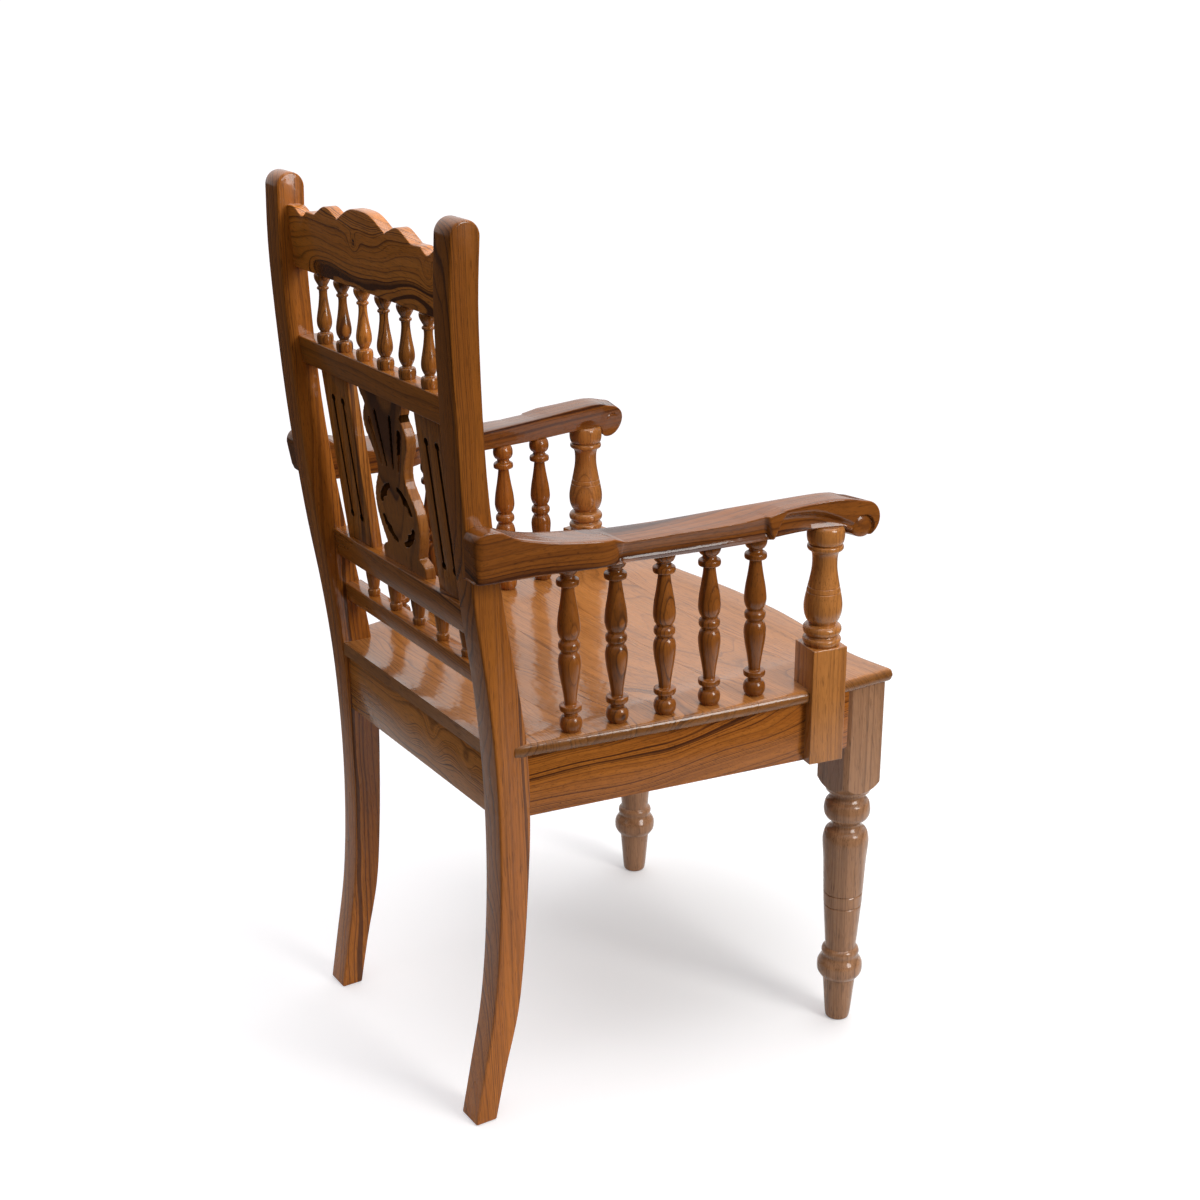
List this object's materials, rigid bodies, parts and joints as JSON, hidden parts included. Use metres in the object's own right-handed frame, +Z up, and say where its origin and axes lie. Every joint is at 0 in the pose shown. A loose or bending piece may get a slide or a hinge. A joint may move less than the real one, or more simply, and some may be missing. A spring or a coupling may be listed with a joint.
{
  "type": "carved wooden armchair",
  "caption": "Lacquered hardwood armchair with a raked back, scalloped crest, pierced splat, slotted slats, turned spindles, scrolled arms, a plank seat and turned front legs.",
  "frame": {"origin": "centre of the chair's footprint box on the floor", "axes": "+Z up, -Y the way the sitter faces, +X the sitter's left; the chair is symmetric across X = 0 apart from the wood's figure"},
  "size_m": [0.5592, 0.5613, 1.04],
  "materials": {
    "sawn_teak": "gloss lacquer over warm orange-brown figured teak",
    "turned_teak": "gloss lacquer over darker brown turned teak",
    "seat_teak": "gloss lacquer over lighter brown teak boards",
    "carved_teak": "gloss lacquer over carved brown teak"
  },
  "bodies": {
    "root": {"rear_leg_left": "sawn_teak", "front_leg_left": "turned_teak", "arm_post_left": "turned_teak", "arm_left": "carved_teak", "side_rail_left": "sawn_teak", "slat_left": "carved_teak", "arm_spindle_left_1": "turned_teak", "arm_spindle_left_2": "turned_teak", "arm_spindle_left_3": "turned_teak", "arm_spindle_left_4": "turned_teak", "arm_spindle_left_5": "turned_teak", "rear_leg_right": "sawn_teak", "front_leg_right": "turned_teak", "arm_post_right": "turned_teak", "arm_right": "carved_teak", "side_rail_right": "sawn_teak", "slat_right": "carved_teak", "arm_spindle_right_1": "turned_teak", "arm_spindle_right_2": "turned_teak", "arm_spindle_right_3": "turned_teak", "arm_spindle_right_4": "turned_teak", "arm_spindle_right_5": "turned_teak", "front_rail": "sawn_teak", "rear_rail": "sawn_teak", "mid_rail": "sawn_teak", "lower_rail": "sawn_teak", "bottom_rail": "sawn_teak", "crest_rail": "carved_teak", "splat": "carved_teak", "seat_board_1": "seat_teak", "seat_board_2": "seat_teak", "seat_board_3": "seat_teak", "seat_board_4": "seat_teak", "seat_board_5": "seat_teak", "upper_spindle_1": "turned_teak", "upper_spindle_2": "turned_teak", "upper_spindle_3": "turned_teak", "upper_spindle_4": "turned_teak", "upper_spindle_5": "turned_teak", "upper_spindle_6": "turned_teak", "lower_spindle_1": "turned_teak", "lower_spindle_2": "turned_teak", "lower_spindle_3": "turned_teak", "lower_spindle_4": "turned_teak", "lower_spindle_5": "turned_teak"}
  },
  "joints": []
}
